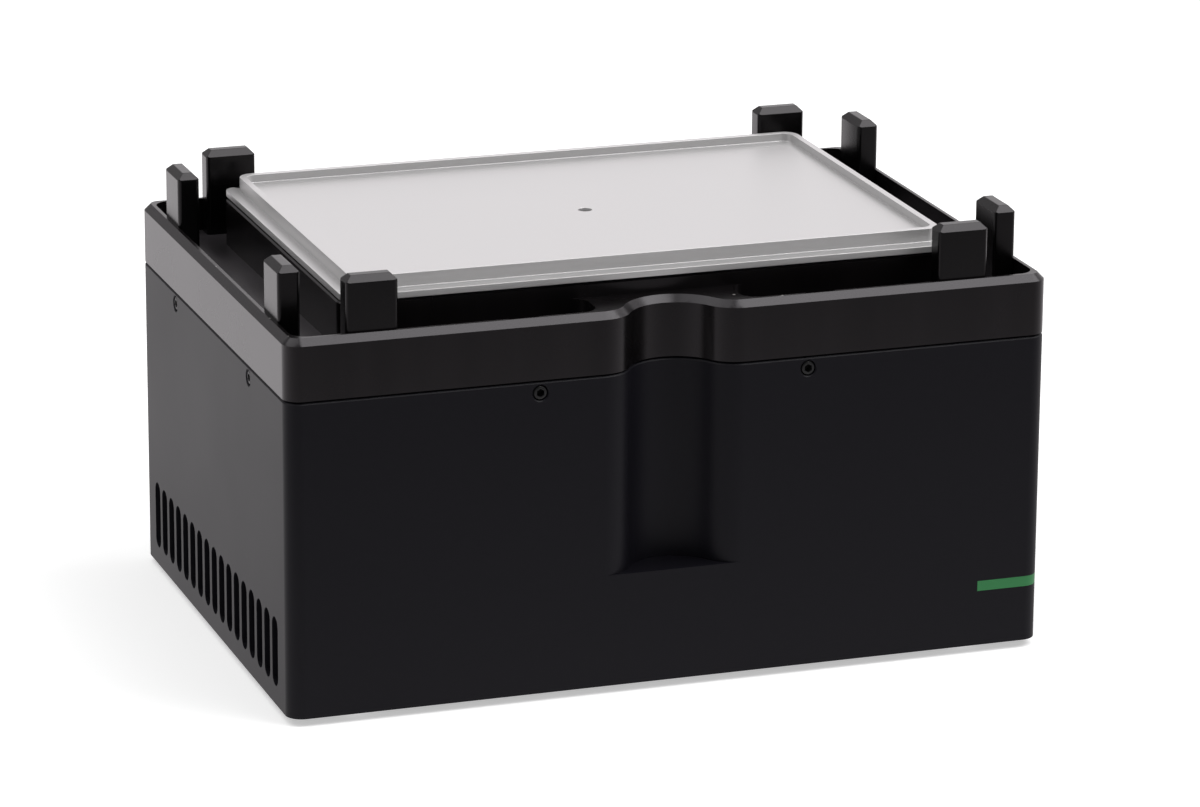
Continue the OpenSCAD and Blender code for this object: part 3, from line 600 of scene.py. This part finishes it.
class Workshop:
    """Builds each finish once and puts it on pieces."""

    band_contrast = (0.4, 1.6)

    def __init__(self) -> None:
        """Build the shared effects."""
        self.tone = ToneShift()
        self.grain = FineGrain()
        self.tool = ToolMarksAndSheen()
        self.dust = Dust()
        self.made: dict[str, bpy.types.Material] = {}

    def material(self, finish: Finish) -> bpy.types.Material:
        """Give the material of a finish, building it on first use.

        Args:
            finish: the finish wanted.

        Returns:
            Its material.
        """
        if finish.name in self.made:
            return self.made[finish.name]
        mat = bpy.data.materials.new(finish.name)
        mat.use_nodes = True
        tree = mat.node_tree
        link = tree.links.new
        shader = tree.nodes["Principled BSDF"]
        shader.inputs["Base Color"].default_value = finish.color
        shader.inputs["Metallic"].default_value = finish.metallic
        shader.inputs["Specular IOR Level"].default_value = finish.specular
        shader.inputs["Specular Tint"].default_value = (*finish.tint, 1.0)
        coords = tree.nodes.new("ShaderNodeTexCoord")

        def group(effect: Effect, **values: object) -> bpy.types.Node:
            """Place an effect on the object's own coordinates."""
            node = tree.nodes.new("ShaderNodeGroup")
            node.node_tree = effect.tree
            link(coords.outputs["Object"], node.inputs["Vector"])
            for key, value in values.items():
                node.inputs[key].default_value = value
            return node

        def bump(height: bpy.types.NodeSocket, depth: float) -> bpy.types.Node:
            """Raise the surface by a height."""
            node = tree.nodes.new("ShaderNodeBump")
            node.inputs["Strength"].default_value = depth
            node.inputs["Distance"].default_value = BUMP_REACH
            link(height, node.inputs["Height"])
            return node

        tone = group(self.tone, Color=finish.color, Scale=finish.tone_scale,
                     Amount=finish.tone_amount)
        color = tone.outputs["Color"]
        grain = group(self.grain, Scale=finish.grain_scale)
        normal = bump(grain.outputs["Height"], finish.grain_depth).outputs["Normal"]
        if finish.marks is not Axis.NONE:
            marks = group(self.tool, Direction=finish.marks.value, Scale=finish.marks_scale)
            scratch = bump(marks.outputs["Height"], finish.marks_depth)
            link(normal, scratch.inputs["Normal"])
            normal = scratch.outputs["Normal"]
            # the slow bands along the marks lighten and darken the colour: painted sheen, over the
            # real tool marks in the bump
            if finish.marks_and_sheen_tone:
                band = tree.nodes.new("ShaderNodeMix")
                band.data_type = "RGBA"
                band.blend_type = "MULTIPLY"
                band.inputs["Factor"].default_value = finish.marks_and_sheen_tone
                ramp = map_range(tree, marks.outputs["Band"], NOISE_BAND, self.band_contrast)
                link(color, band.inputs["A"])
                link(ramp, band.inputs["B"])
                color = band.outputs["Result"]
        if finish.dust:
            specks = group(self.dust, Density=finish.dust)
            laid = tree.nodes.new("ShaderNodeMix")
            laid.data_type = "RGBA"
            laid.inputs["B"].default_value = srgb(*Dust.color)
            link(specks.outputs["Mask"], laid.inputs["Factor"])
            link(color, laid.inputs["A"])
            color = laid.outputs["Result"]
        smoothest = max(MIN_ROUGHNESS, finish.roughness - finish.rough_spread)
        spread = map_range(tree, tone.outputs["Mask"], NOISE_BAND,
                           (smoothest, finish.roughness + finish.rough_spread))
        link(spread, shader.inputs["Roughness"])
        link(color, shader.inputs["Base Color"])
        link(normal, shader.inputs["Normal"])
        self.made[finish.name] = mat
        return mat

    def dress(self, obj: bpy.types.Object, finish: Finish) -> None:
        """Give a piece one finish all over.

        Args:
            obj: the piece or frame node.
            finish: its finish.
        """
        mat = self.material(finish)
        if not obj.data.materials:
            obj.data.materials.append(mat)
        for index in range(len(obj.material_slots)):
            obj.material_slots[index].material = mat

    def dress_some(self, obj: bpy.types.Object, finish: Finish,
                   test: Callable[[Vector, Vector], bool]) -> None:
        """Give the faces of a piece that pass a test another finish.

        Args:
            obj: the piece, which is already dressed.
            finish: the finish of those faces.
            test: takes a face's middle and normal.
        """
        obj.data.materials.append(self.material(finish))
        index = len(obj.data.materials) - 1
        for face in obj.data.polygons:
            if test(face.center, face.normal):
                face.material_index = index


SHELL = Finish("shell_black", srgb(18, 17, 23), 0.45, specular=0.18, tone_amount=0.05,
               rough_spread=0.015, grain_scale=5200, grain_depth=0.03)
# the frame's upright colour bands are painted sheen; its tool marks in the bump are real
FRAME = Finish("frame_black", srgb(12, 10, 11), 0.27, specular=0.4, tint=(1.0, 0.95, 0.99),
               tone_amount=0.06, rough_spread=0.015, grain_depth=0.015, marks=Axis.UPRIGHT,
               marks_scale=1400, marks_depth=0.02, marks_and_sheen_tone=0.6, dust=0.03)
BEVEL = Finish("frame_bevel", srgb(14, 12, 14), 0.26, specular=0.46, tint=(1.0, 0.96, 1.0),
               tone_amount=0.05, rough_spread=0.015, grain_depth=0.01, marks=Axis.ALONG_X,
               marks_scale=900, marks_depth=0.02)
# trough floor: the frame's own black lifted to a lighter colour, with strong tone patches and
# streaks along Y, as painted sheen of the milled floor; its rougher gloss is real
TROUGH_SHEEN = Finish("frame_trough_sheen", srgb(50, 47, 50), 0.36, specular=0.9, tint=(1.0, 0.96, 1.0),
                tone_amount=1.2, tone_scale=60.0, grain_depth=0.02, marks=Axis.ALONG_Y,
                marks_scale=500, marks_and_sheen_tone=0.8, dust=0.02)
PEG = Finish("peg_black", srgb(3, 3, 3), 0.25, specular=0.4, tint=(1.0, 0.96, 0.99),
             tone_amount=0.05, rough_spread=0.015, grain_depth=0.02, marks=Axis.UPRIGHT,
             marks_depth=0.02)
PLATE = Finish("plate_aluminium", srgb(209, 208, 208), 0.34, metallic=0.6, tone_amount=0.03,
               rough_spread=0.02, grain_scale=3500, grain_depth=0.05)
BLACK_OXIDE = Finish("screw_black", srgb(26, 26, 27), 0.4, specular=0.4)
ZINC = Finish("screw_steel", srgb(190, 190, 192), 0.32, metallic=1.0)
GASKET = Finish("gasket_black", srgb(12, 12, 13), 0.75, specular=0.1)
BLOCK = Finish("block_aluminium", srgb(200, 201, 203), 0.34, metallic=1.0, marks=Axis.ALONG_X,
               marks_depth=0.05)
FOAM = Finish("foam_grey", srgb(60, 60, 63), 0.9, specular=0.1, grain_scale=1500,
              grain_depth=0.6)
CERAMIC = Finish("ceramic_white", srgb(236, 235, 230), 0.5)
PAD = Finish("pad_grey", srgb(170, 180, 190), 0.8)
SENSOR = Finish("sensor_steel", srgb(200, 200, 202), 0.22, metallic=1.0)
SINK = Finish("sink_aluminium", srgb(178, 181, 184), 0.42, metallic=1.0, marks=Axis.UPRIGHT,
              marks_depth=0.05)
SHEET = Finish("baffle_steel", srgb(160, 160, 164), 0.45, metallic=1.0)
FAN = Finish("fan_plastic", srgb(30, 30, 31), 0.5, grain_depth=0.1)
ROTOR = Finish("rotor_plastic", srgb(36, 36, 37), 0.42, grain_depth=0.08)
BASE = Finish("base_metal", srgb(58, 58, 61), 0.55, grain_scale=2600, grain_depth=0.25)
RUBBER = Finish("foot_rubber", srgb(28, 28, 28), 0.8, specular=0.2, grain_scale=3000,
                grain_depth=0.3)
BOARD = Finish("board_green", srgb(24, 92, 56), 0.3, specular=0.5)
CHIP = Finish("chip_black", srgb(32, 32, 33), 0.5)
NICKEL = Finish("brass_plated", srgb(205, 190, 150), 0.3, metallic=1.0)
SOCKET = Finish("socket_black", srgb(24, 24, 25), 0.38)
TIN = Finish("port_metal", srgb(195, 195, 197), 0.3, metallic=1.0)
STRIPE = Finish("stripe_green", srgb(46, 125, 70), 0.4, specular=0.4, tone_amount=0.05)

NODE_FINISH: dict[str, Finish] = {
    "housing_shell": SHELL, "top_frame": FRAME, "corner_pegs_wide": PEG, "corner_pegs_narrow": PEG,
    "peg_screws": ZINC, "frame_screws": BLACK_OXIDE, "seam_gasket": GASKET, "plate_gasket": GASKET,
    "thermal_plate": PLATE, "cold_block": BLOCK, "block_screws": ZINC, "clamp_screws": ZINC,
    "insulation_collar": FOAM, "module_foam": FOAM, "peltier_modules": CERAMIC, "thermal_pads": PAD,
    "temperature_sensor": SENSOR, "heat_sink": SINK, "sink_screws": ZINC, "air_baffle": SHEET,
    "baffle_screws": ZINC, "fan_frame_left": FAN, "fan_frame_right": FAN, "fan_rotor_left": ROTOR,
    "fan_rotor_right": ROTOR, "fan_screws": ZINC, "base_plate": BASE, "base_screws": ZINC,
    "rubber_feet": RUBBER, "control_board": BOARD, "board_components": CHIP,
    "board_standoffs": NICKEL, "board_screws": ZINC, "power_socket": SOCKET, "socket_nut": TIN,
    "serial_port": TIN, "port_screws": TIN, "accent_stripe": STRIPE,
}


# ---------------------------------------------------------------- camera and studio
@dataclass
class Camera:
    """The photographer's camera, in metres and degrees."""

    place: Spot = (-0.31078, -0.90540, 0.32838)
    azimuth: float = -19.121
    elevation: float = 16.879
    roll: float = 0.384
    lens_mm: float = 164.58
    sensor_mm: float = 36.0

    def build(self) -> None:
        """Create the camera and make it the scene's own."""
        a, e, r = (math.radians(v) for v in (self.azimuth, self.elevation, self.roll))
        back = Vector((math.sin(a) * math.cos(e), -math.cos(a) * math.cos(e), math.sin(e)))
        right = (-back).cross(Vector((0, 0, 1))).normalized()
        up = right.cross(-back)
        turned_right = right * math.cos(r) + up * math.sin(r)
        turned_up = up * math.cos(r) - right * math.sin(r)
        data = bpy.data.cameras.new("photo_camera")
        data.lens = self.lens_mm
        data.sensor_width = self.sensor_mm
        data.clip_start = 0.05
        camera = bpy.data.objects.new("photo_camera", data)
        turn = Matrix((turned_right, turned_up, back)).transposed().to_4x4()
        camera.matrix_world = Matrix.Translation(self.place) @ turn
        bpy.context.scene.collection.objects.link(camera)
        bpy.context.scene.camera = camera


@dataclass(frozen=True)
class Lamp:
    """A soft rectangular lamp that looks at the object, in metres and watts."""

    name: str
    place: Spot
    width: float
    height: float
    power: float
    aim: Spot = (0.0, 0.0, 0.05)

    def build(self) -> None:
        """Create the lamp and turn it to its aim."""
        data = bpy.data.lights.new(self.name, "AREA")
        data.shape = "RECTANGLE"
        data.size = self.width
        data.size_y = self.height
        data.energy = self.power
        lamp = bpy.data.objects.new(self.name, data)
        sight = Vector(self.aim) - Vector(self.place)
        lamp.rotation_euler = sight.to_track_quat("-Z", "Y").to_euler()
        lamp.location = self.place
        bpy.context.scene.collection.objects.link(lamp)


@dataclass
class Studio:
    """Pale floor, white surroundings and soft lamps.

    The camera sees white all round. Glossy faces see a room that is dark in front of the
    object and at its left, and light behind it: its levels follow the photo's reflections.
    """

    floor_half: float = 3.0
    floor_drop: float = 0.05 * MM
    floor_shade: tuple[float, float, float, float] = (0.9, 0.9, 0.9, 1.0)
    floor_roughness: float = 0.9
    floor_glow: float = 0.45
    floor_gain: float = 1.18
    floor_span: tuple[float, float] = (-0.35, 0.15)
    fill_level: float = 0.35
    front_level: float = 0.18
    back_level: float = 1.05
    left_level: float = 0.35
    depth_span: tuple[float, float] = (-0.5, 0.2)
    side_span: tuple[float, float] = (-0.25, 0.2)
    room_tint: tuple[float, float, float] = (1.0, 0.965, 0.985)
    lamps: tuple[Lamp, ...] = (
        Lamp("overhead", (0.72, -0.40, 1.30), 1.0, 1.2, 13.5),
        Lamp("left_top", (-0.55, 0.10, 1.20), 1.2, 1.2, 6.0),
    )

    def build(self) -> None:
        """Build the floor, the world and the lamps."""
        self.build_floor()
        self.build_world()
        for lamp in self.lamps:
            lamp.build()

    def build_floor(self) -> None:
        """Build the floor: white to the camera, graded to glossy faces, darker in shadow."""
        deselect()
        bpy.ops.mesh.primitive_plane_add(size=2 * self.floor_half,
                                         location=(0, 0, -self.floor_drop))
        floor = bpy.context.object
        floor.name = "floor"
        mat = bpy.data.materials.new("floor_white")
        mat.use_nodes = True
        tree = mat.node_tree
        shader = tree.nodes["Principled BSDF"]
        shader.inputs["Base Color"].default_value = self.floor_shade
        shader.inputs["Roughness"].default_value = self.floor_roughness
        shader.inputs["Specular IOR Level"].default_value = 0.0
        paths = tree.nodes.new("ShaderNodeLightPath")
        lift = tree.nodes.new("ShaderNodeMath")
        lift.operation = "MULTIPLY"
        lift.inputs[1].default_value = self.floor_glow
        tree.links.new(paths.outputs["Is Camera Ray"], lift.inputs[0])
        shader.inputs["Emission Color"].default_value = WHITE
        tree.links.new(lift.outputs[0], shader.inputs["Emission Strength"])
        sweep = tree.nodes.new("ShaderNodeEmission")
        sweep.inputs["Color"].default_value = (*self.room_tint, 1.0)
        axes = position_axes(tree, "Object")
        level = map_range(tree, axes[1], self.floor_span,
                          (self.front_level, self.back_level * self.floor_gain))
        tree.links.new(level, sweep.inputs["Strength"])
        mixed = mix_shaders(tree, glossy_or_clear(tree, paths), shader.outputs[0],
                            sweep.outputs[0])
        tree.links.new(mixed, tree.nodes["Material Output"].inputs["Surface"])
        floor.data.materials.append(mat)

    def build_world(self) -> None:
        """Set a world that is white to the camera, graded to glossy faces, even to the rest."""
        world = bpy.data.worlds.new("studio")
        world.use_nodes = True
        bpy.context.scene.world = world
        tree = world.node_tree
        tree.nodes.clear()
        out = tree.nodes.new("ShaderNodeOutputWorld")

        def background(color: tuple[float, float, float, float]) -> bpy.types.Node:
            """Add a plain background of one colour."""
            node = tree.nodes.new("ShaderNodeBackground")
            node.inputs["Color"].default_value = color
            return node

        fill = background(WHITE)
        fill.inputs["Strength"].default_value = self.fill_level
        white = background(WHITE)
        room = background((*self.room_tint, 1.0))
        paths = tree.nodes.new("ShaderNodeLightPath")
        axes = position_axes(tree, "Generated")
        both = tree.nodes.new("ShaderNodeMath")
        both.operation = "MULTIPLY"
        tree.links.new(map_range(tree, axes[1], self.depth_span,
                                 (self.front_level, self.back_level)), both.inputs[0])
        tree.links.new(map_range(tree, axes[0], self.side_span,
                                 (self.left_level, 1.0)), both.inputs[1])
        tree.links.new(both.outputs[0], room.inputs["Strength"])
        lit = mix_shaders(tree, glossy_or_clear(tree, paths), fill.outputs[0], room.outputs[0])
        seen = mix_shaders(tree, paths.outputs["Is Camera Ray"], lit, white.outputs[0])
        tree.links.new(seen, out.inputs["Surface"])


# ---------------------------------------------------------------- pieces
@dataclass
class Body:
    """Lower shell and upper frame with fine rounded edges."""

    shell_edge: float = 0.18 * MM
    frame_edge: float = 0.16 * MM
    rim_height: float = 68.25 * MM
    rim_slack: float = 0.1 * MM
    rim_top: float = 69.45 * MM
    bevel_tilt: tuple[float, float] = (0.5, 0.9)
    trough_top: float = 64.0 * MM
    trough_tilt: float = 0.9

    def build(self, shop: Workshop) -> None:
        """Build both pieces over their frame nodes.

        Args:
            shop: gives the finishes.
        """
        shell = soft_copy("housing_shell", self.shell_edge)
        shop.dress(shell, SHELL)
        place(shell, "housing_shell", SHELL)
        ring = soft_copy("top_frame", self.frame_edge)
        shop.dress(ring, FRAME)
        shop.dress_some(ring, BEVEL, self.is_rim_bevel)
        # the trough floor gets the lighter finish with its painted sheen streaks
        shop.dress_some(ring, TROUGH_SHEEN, self.is_trough_floor)
        place(ring, "top_frame", FRAME)

    def is_rim_bevel(self, centre: Vector, normal: Vector) -> bool:
        """Say whether a face belongs to the bevel round the rim.

        Args:
            centre: the face's middle.
            normal: its normal.

        Returns:
            True if it does.
        """
        low, high = self.bevel_tilt
        return self.rim_height - self.rim_slack < centre.z < self.rim_top and low < normal.z < high

    def is_trough_floor(self, centre: Vector, normal: Vector) -> bool:
        """Say whether a face belongs to the floor of the trough.

        Args:
            centre: the face's middle.
            normal: its normal.

        Returns:
            True if it does.
        """
        return normal.z > self.trough_tilt and centre.z < self.trough_top


@dataclass
class CornerPeg:
    """One kind of post that holds a microplate by its corner."""

    node: str
    length_x: float
    length_y: float
    spread_x: float
    spread_y: float
    bottom: float = 62.4 * MM
    top: float = 79.23 * MM
    corner: float = 0.7 * MM
    bevel: float = 1.15 * MM
    edge: float = 0.09 * MM

    def build(self, shop: Workshop) -> None:
        """Model one peg and stand a copy of it in each of its pockets.

        Args:
            shop: gives the finishes.
        """
        first = self.shape()
        spots = [(x, y) for x in (-self.spread_x, self.spread_x)
                 for y in (-self.spread_y, self.spread_y)]
        for number, (x, y) in enumerate(spots, start=1):
            peg = copy_to(first, Vector((x, y, 0.0)), f"{self.node}_{number}")
            shop.dress(peg, PEG)
            place(peg, self.node, PEG)
        bpy.data.objects.remove(first)

    def shape(self) -> bpy.types.Object:
        """Model a peg at the origin: rounded upright edges, four bevels on top.

        Returns:
            The peg.
        """
        height = self.top - self.bottom
        peg = add_cube((0, 0, self.bottom + height / 2), (self.length_x, self.length_y, height))
        activate(peg)
        bpy.ops.object.mode_set(mode="EDIT")
        select_edges(peg, is_upright)
        bpy.ops.mesh.bevel(offset=self.corner, segments=5, affect="EDGES")
        for axis, half in ((0, self.length_x / 2), (1, self.length_y / 2)):
            for side in (-1, 1):
                normal = [0.0, 0.0, 1.0]
                normal[axis] = float(side)
                point = [0.0, 0.0, self.top - self.bevel]
                point[axis] = side * half
                bpy.ops.mesh.select_all(action="SELECT")
                bpy.ops.mesh.bisect(plane_co=point, plane_no=normal, use_fill=True,
                                    clear_outer=True)
        bpy.ops.mesh.select_all(action="SELECT")
        bpy.ops.mesh.remove_doubles(threshold=WELD)
        bpy.ops.mesh.normals_make_consistent(inside=False)
        bpy.ops.object.mode_set(mode="OBJECT")
        soften(peg, self.edge)
        return peg


@dataclass
class ThermalPlate:
    """Stepped aluminium plate with a raised rim, a sunk flat and a threaded hole."""

    half_x: float = 54.7 * MM
    front: float = -36.0 * MM
    rear: float = 38.0 * MM
    corner: float = 2.8 * MM
    side_step: float = 2.4 * MM
    front_step: float = 3.1 * MM
    step_corner: float = 2.2 * MM
    bottom: float = 72.4 * MM
    ledge: float = 73.55 * MM
    top: float = 75.93 * MM
    flat: float = 74.48 * MM
    lip: float = 1.3 * MM
    flat_corner: float = 1.8 * MM
    hole: float = 1.25 * MM
    hole_depth: float = 10.0 * MM
    overlap: float = 0.3 * MM
    overshoot: float = 1.0 * MM
    edge: float = 0.13 * MM

    def build(self, shop: Workshop) -> None:
        """Model the plate and put it over its node.

        Args:
            shop: gives the finishes.
        """
        plate = self.slab(self.half_x + self.side_step, (self.front - self.front_step, self.rear),
                          self.step_corner, (self.bottom, self.ledge))
        upper = self.slab(self.half_x, (self.front, self.rear), self.corner,
                          (self.bottom + self.overlap, self.top))
        cut_with(plate, upper, "UNION")
        sunk = self.slab(self.half_x - self.lip, (self.front + self.lip, self.rear - self.lip),
                         self.flat_corner, (self.flat, self.top + self.overshoot))
        cut_with(plate, sunk, "DIFFERENCE")
        deselect()
        bpy.ops.mesh.primitive_cylinder_add(vertices=40, radius=self.hole, depth=self.hole_depth,
                                            location=(0, 0, self.flat))
        cut_with(plate, bpy.context.object, "DIFFERENCE")
        clean_faces(plate, WELD)
        soften(plate, self.edge, segments=3)
        plate = settle(plate, "thermal_plate_machined")
        shop.dress(plate, PLATE)
        place(plate, "thermal_plate", PLATE)

    def slab(self, half_x: float, depth: tuple[float, float], corner: float,
             height: tuple[float, float]) -> bpy.types.Object:
        """Model a flat block with rounded upright corners.

        Args:
            half_x: half its length.
            depth: its front and its rear along Y.
            corner: radius of the upright corners.
            height: height of its underside and of its top.

        Returns:
            The block.
        """
        block = add_cube((0, sum(depth) / 2, sum(height) / 2),
                         (2 * half_x, depth[1] - depth[0], height[1] - height[0]))
        activate(block)
        bpy.ops.object.mode_set(mode="EDIT")
        select_edges(block, is_upright)
        bpy.ops.mesh.bevel(offset=corner, segments=12, affect="EDGES")
        bpy.ops.object.mode_set(mode="OBJECT")
        return block


@dataclass
class FrameScrews:
    """Headless screws in the shell's upper edge, sunk a little under its faces."""

    radius: float = 1.25 * MM
    length: float = 6.0 * MM
    sink: float = 0.12 * MM
    nose: float = 0.3 * MM
    hex_width: float = 1.3 * MM
    hex_depth: float = 1.6 * MM
    edge: float = 0.05 * MM
    along: float = 24.65 * MM
    height: float = 56.2 * MM
    half_x: float = 70.0 * MM
    half_y: float = 49.0 * MM

    def build(self, shop: Workshop) -> None:
        """Model one screw and turn a copy of it into each hole.

        Args:
            shop: gives the finishes.
        """
        first = self.shape()
        number = 0
        sides = ((0, self.half_y), (180, self.half_y), (-90, self.half_x), (90, self.half_x))
        for turn, reach in sides:
            for side in (-1, 1):
                number += 1
                spin = Matrix.Rotation(math.radians(turn), 4, "Z")
                spot = spin @ Vector((side * self.along, -reach, self.height))
                screw = copy_to(first, spot, f"frame_screw_{number}", spin)
                shop.dress(screw, BLACK_OXIDE)
                place(screw, "frame_screws", BLACK_OXIDE)
        bpy.data.objects.remove(first)

    def shape(self) -> bpy.types.Object:
        """Model a screw whose open end looks along -Y from the origin.

        Returns:
            The screw.
        """
        deselect()
        middle = self.sink + self.length / 2
        bpy.ops.mesh.primitive_cylinder_add(vertices=32, radius=self.radius, depth=self.length,
                                            location=(0, middle, 0),
                                            rotation=(math.radians(90), 0, 0))
        screw = bpy.context.object
        bpy.ops.object.transform_apply(location=True, rotation=True, scale=True)
        bpy.ops.object.mode_set(mode="EDIT")
        select_faces(screw, lambda face: face.normal.y < -0.9)
        bpy.ops.mesh.bevel(offset=self.nose, segments=2, affect="EDGES")
        bpy.ops.object.mode_set(mode="OBJECT")
        deselect()
        bpy.ops.mesh.primitive_cylinder_add(vertices=6, radius=self.hex_width / math.sqrt(3),
                                            depth=2 * self.hex_depth, location=(0, self.sink, 0),
                                            rotation=(math.radians(90), 0, 0))
        cut_with(screw, bpy.context.object, "DIFFERENCE")
        soften(screw, self.edge)
        return screw


@dataclass
class SoftEdges:
    """Small fixed pieces that keep their node's shape and get rounded edges."""

    widths: dict[str, float] = field(default_factory=lambda: {
        "accent_stripe": 0.04 * MM, "plate_gasket": 0.08 * MM, "rubber_feet": 0.2 * MM,
        "base_plate": 0.2 * MM, "base_screws": 0.08 * MM, "power_socket": 0.12 * MM,
        "socket_nut": 0.1 * MM, "serial_port": 0.1 * MM, "port_screws": 0.08 * MM,
    })

    def build(self, shop: Workshop) -> None:
        """Round and dress each piece.

        Args:
            shop: gives the finishes.
        """
        for node, width in self.widths.items():
            obj = soft_copy(node, width)
            shop.dress(obj, NODE_FINISH[node])
            place(obj, node, NODE_FINISH[node])


def main() -> None:
    """Build the studio and every piece."""
    logging.basicConfig(level=logging.INFO, format="%(name)s: %(message)s")
    bpy.context.scene.view_settings.view_transform = "Standard"
    Camera().build()
    Studio().build()
    shop = Workshop()
    for node, finish in NODE_FINISH.items():
        shop.dress(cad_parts[node], finish)
    Body().build(shop)
    CornerPeg("corner_pegs_wide", length_x=9.3 * MM, length_y=4.0 * MM,
              spread_x=54.2 * MM, spread_y=45.15 * MM).build(shop)
    CornerPeg("corner_pegs_narrow", length_x=4.0 * MM, length_y=9.3 * MM,
              spread_x=66.15 * MM, spread_y=33.0 * MM).build(shop)
    ThermalPlate().build(shop)
    FrameScrews().build(shop)
    SoftEdges().build(shop)


if __name__ == "__main__":
    main()
